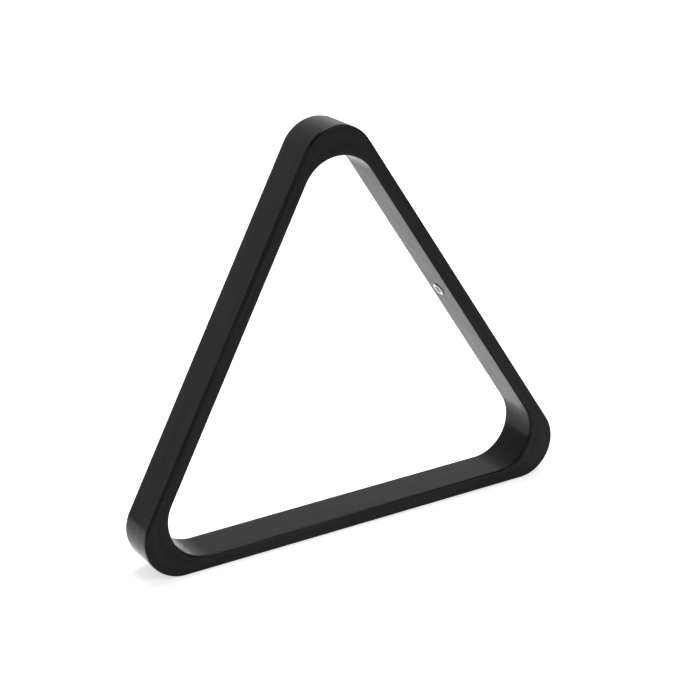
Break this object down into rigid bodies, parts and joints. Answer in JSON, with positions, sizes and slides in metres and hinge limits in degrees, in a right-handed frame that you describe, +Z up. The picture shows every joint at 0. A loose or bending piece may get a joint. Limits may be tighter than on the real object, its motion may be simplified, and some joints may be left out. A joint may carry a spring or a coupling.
{
  "type": "triangle ball rack",
  "caption": "Slim black lacquered triangle rack with thick rounded corners, which gathers billiard balls into a tight triangle.",
  "frame": {"origin": "under the middle of the bottom rail, on the surface that the rack stands on", "axes": "+X along the bottom rail, +Y through the depth from the front face to the back face, +Z up towards the top corner"},
  "size_m": [0.323, 0.034, 0.2871],
  "materials": {
    "black_lacquer": "satin black lacquer over hardwood",
    "bare_beech": "bare beech dowel",
    "nickel_plate": "nickel plated"
  },
  "bodies": {
    "root": {"bottom_rail": "black_lacquer", "right_rail": "black_lacquer", "left_rail": "black_lacquer", "bottom_right_corner": "black_lacquer", "top_corner": "black_lacquer", "bottom_left_corner": "black_lacquer", "bottom_rail_start_dowel_front": "bare_beech", "bottom_rail_start_dowel_back": "bare_beech", "bottom_rail_end_dowel_front": "bare_beech", "bottom_rail_end_dowel_back": "bare_beech", "right_rail_start_dowel_front": "bare_beech", "right_rail_start_dowel_back": "bare_beech", "right_rail_end_dowel_front": "bare_beech", "right_rail_end_dowel_back": "bare_beech", "left_rail_start_dowel_front": "bare_beech", "left_rail_start_dowel_back": "bare_beech", "left_rail_end_dowel_front": "bare_beech", "left_rail_end_dowel_back": "bare_beech", "hanging_ferrule": "nickel_plate"}
  },
  "joints": []
}
